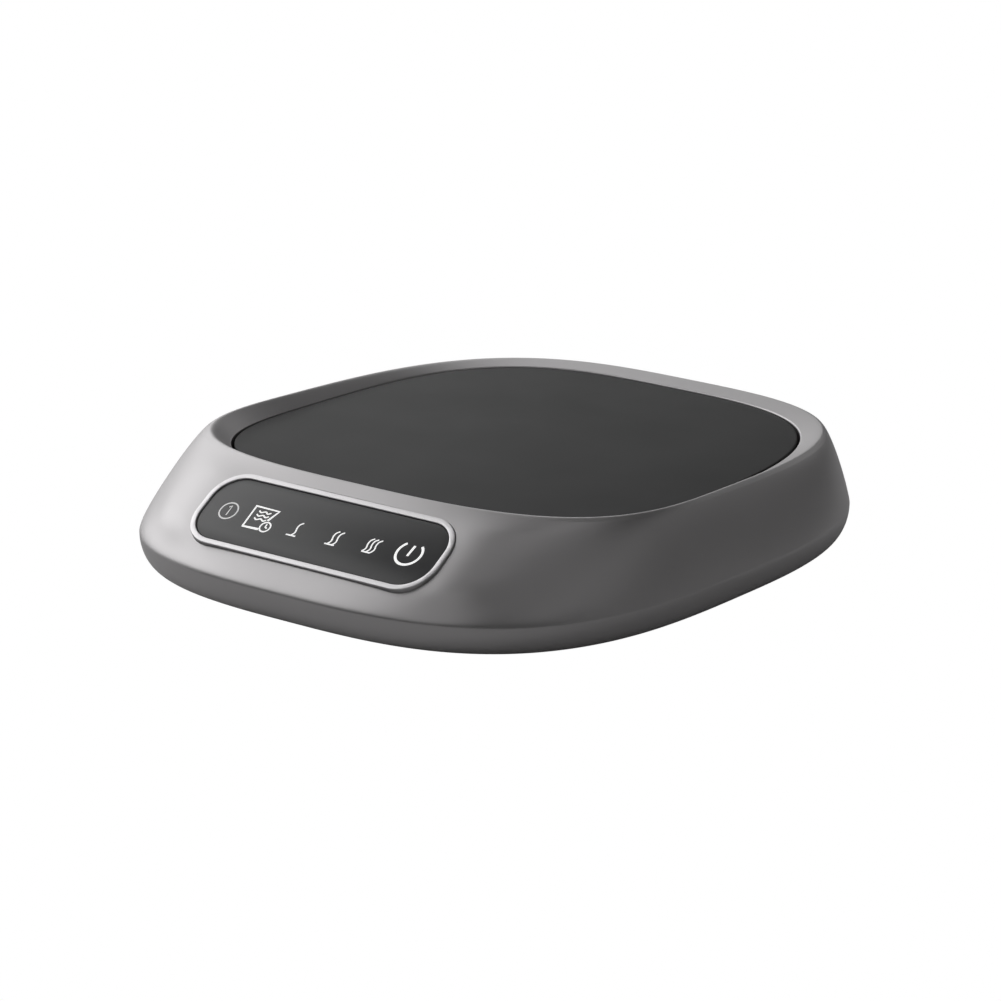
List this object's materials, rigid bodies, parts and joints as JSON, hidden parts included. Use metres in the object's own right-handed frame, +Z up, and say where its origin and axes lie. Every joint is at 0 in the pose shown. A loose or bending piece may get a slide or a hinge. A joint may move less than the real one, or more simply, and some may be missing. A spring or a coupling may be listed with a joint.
{
  "type": "electric mug warmer",
  "caption": "Low, softly square electric mug warmer: sloping touch panel in front, sprung flat heating plate that closes a switch under the mug's weight.",
  "frame": {"origin": "middle of the footprint, on the surface it stands on", "axes": "+Z up, -Y the front with the sloping control panel, +Y the back with the cord gland, +X to the right"},
  "size_m": [0.13, 0.1434, 0.026],
  "materials": {
    "housing_plastic": "satin grey with a fine metallic pigment",
    "base_plastic": "fine moulded texture",
    "foot_rubber": "matt",
    "screw_steel": "zinc plated",
    "gland_rubber": "matt",
    "white_nylon": "natural nylon",
    "bezel_metal": "bright satin",
    "lens_plastic": "smoked",
    "diffuser_plastic": "milky",
    "inner_plastic": "moulded",
    "circuit_board": "solder mask",
    "capacitor_case": "dipped",
    "coil_ferrite": "ferrite and tape",
    "fuse_glass": "clear with metal caps",
    "sheet_aluminium": "rolled",
    "plunger_plastic": "moulded",
    "spring_steel": "drawn wire",
    "coated_aluminium": "matt black ceramic coating",
    "carrier_plastic": "glass-filled",
    "mica_element": "mica with etched track",
    "fibre_pad": "felted ceramic fibre",
    "sheet_steel": "pressed",
    "sensor_body": "potted"
  },
  "bodies": {
    "base": {"upper_housing": "housing_plastic", "base_cover": "base_plastic", "rubber_feet": "foot_rubber", "case_screws": "screw_steel", "cord_gland": "gland_rubber", "cord_clamp": "white_nylon", "clamp_screws": "screw_steel", "lens_bezel": "bezel_metal", "control_lens": "lens_plastic", "icon_diffuser": "diffuser_plastic", "light_shield": "inner_plastic", "touch_board": "circuit_board", "touch_chip": "inner_plastic", "indicator_leds": "white_nylon", "touch_board_screws": "screw_steel", "key_ribbon": "white_nylon", "power_board": "circuit_board", "power_board_screws": "screw_steel", "slim_relay": "inner_plastic", "filter_capacitor": "capacitor_case", "supply_coil": "coil_ferrite", "mains_fuse": "fuse_glass", "terminal_block": "circuit_board", "heat_shield": "sheet_aluminium", "heat_shield_screws": "screw_steel", "micro_switch": "inner_plastic", "plate_springs": "spring_steel"},
    "plate": {"heating_plate": "coated_aluminium", "plate_carrier": "carrier_plastic", "heating_element": "mica_element", "insulation_pad": "fibre_pad", "heater_retainer": "sheet_steel", "retainer_screws": "screw_steel", "thermistor": "sensor_body", "thermal_fuse": "sheet_steel"},
    "plunger": {"switch_plunger": "plunger_plastic"}
  },
  "joints": [
    {"name": "plate_press", "type": "slide", "parent": "base", "child": "plate", "axis": [0, 0, 1], "range_m": [-0.001, 0], "stiffness_N_per_m": 800, "springref_m": 0.004, "deforming": ["plate_springs"]},
    {"name": "plunger_press", "type": "slide", "parent": "base", "child": "plunger", "axis": [0, 0, 1], "range_m": [-0.001, 0], "stiffness_N_per_m": 60, "springref_m": 0.002}
  ],
  "couplings": [
    {"joint": "plunger_press", "follows": "plate_press", "ratio": 1}
  ]
}
